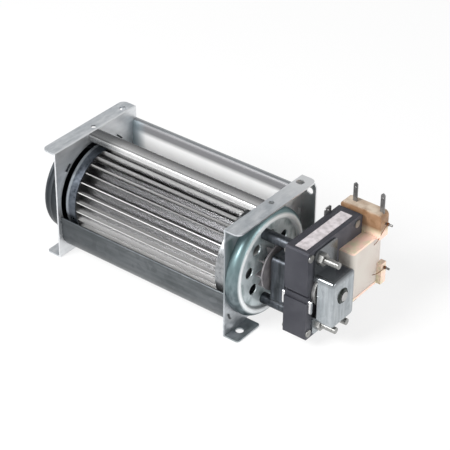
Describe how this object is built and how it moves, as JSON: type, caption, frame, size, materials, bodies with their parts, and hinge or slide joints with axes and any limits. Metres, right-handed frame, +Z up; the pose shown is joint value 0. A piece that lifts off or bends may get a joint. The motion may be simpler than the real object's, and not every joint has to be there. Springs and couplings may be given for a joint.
{
  "type": "cross flow fan",
  "caption": "Small cross flow fan: a long bladed roll in a sheet-metal scroll between two flanged end plates, driven by a C-frame shaded-pole motor at one end.",
  "frame": {"origin": "centre of the rectangle of the four foot holes, on the underside of the feet", "axes": "+X along the roll's axis towards the motor, -Y towards the air inlet, +Z up out of the air outlet"},
  "size_m": [0.2072, 0.0825, 0.0824],
  "materials": {
    "galvanised": "bright galvanised sheet",
    "casing_sheet": "galvanised sheet, softly mirrored",
    "cup_steel": "drawn and galvanised",
    "blade_aluminium": "bright rolled sheet",
    "cap_steel": "galvanised, pressed",
    "lamination": "dark slate grey, dull",
    "shaft_steel": "ground bright",
    "bracket_zinc": "zinc plated",
    "bronze": "sintered, oil-wet",
    "copper": "bare copper",
    "winding_copper": "enamelled copper",
    "tape": "pale film tape",
    "former_plastic": "tan moulded plastic",
    "black_plastic": "black moulded plastic",
    "rubber": "black rubber",
    "terminal_tin": "dull tinned",
    "bolt_zinc": "zinc plated",
    "strip_film": "silvery film, blank",
    "rotor_cast": "die cast",
    "washer_fibre": "laminated fibre"
  },
  "bodies": {
    "housing": {"left_end_plate": "galvanised", "right_end_plate": "galvanised", "scroll_casing": "casing_sheet", "tongue_sheet": "casing_sheet", "left_bearing_cup": "cup_steel", "motor_side_cup": "cup_steel", "left_rubber_mount": "rubber", "left_bearing_bush": "bronze", "stator_stack": "lamination", "stack_rivets": "bolt_zinc", "shading_rings": "copper", "coil_core_leg": "lamination", "coil_bobbin": "former_plastic", "coil_winding": "winding_copper", "coil_tape": "tape", "blade_terminals": "terminal_tin", "winding_pins": "terminal_tin", "outer_bracket": "bracket_zinc", "inner_bracket": "bracket_zinc", "outer_bearing_bush": "bronze", "inner_bearing_bush": "bronze", "bush_retainers": "shaft_steel", "motor_bolts": "bolt_zinc", "motor_nuts": "bolt_zinc", "motor_spacers": "bolt_zinc", "earth_tab": "terminal_tin", "blank_strip": "strip_film"},
    "rotor": {"roll_blades": "blade_aluminium", "roll_left_cap": "cap_steel", "roll_right_cap": "cap_steel", "left_stub_shaft": "shaft_steel", "stub_shaft_clip": "shaft_steel", "roll_hub": "rotor_cast", "hub_grub_screw": "bolt_zinc", "motor_shaft": "shaft_steel", "rotor_core": "lamination", "rotor_end_rings": "rotor_cast", "cooling_fan": "black_plastic", "thrust_washers": "washer_fibre"}
  },
  "joints": [
    {"name": "roll_spin", "type": "hinge", "parent": "housing", "child": "rotor", "pos_m": [0, -0.003, 0.037], "axis": [1, 0, 0], "continuous": true}
  ]
}
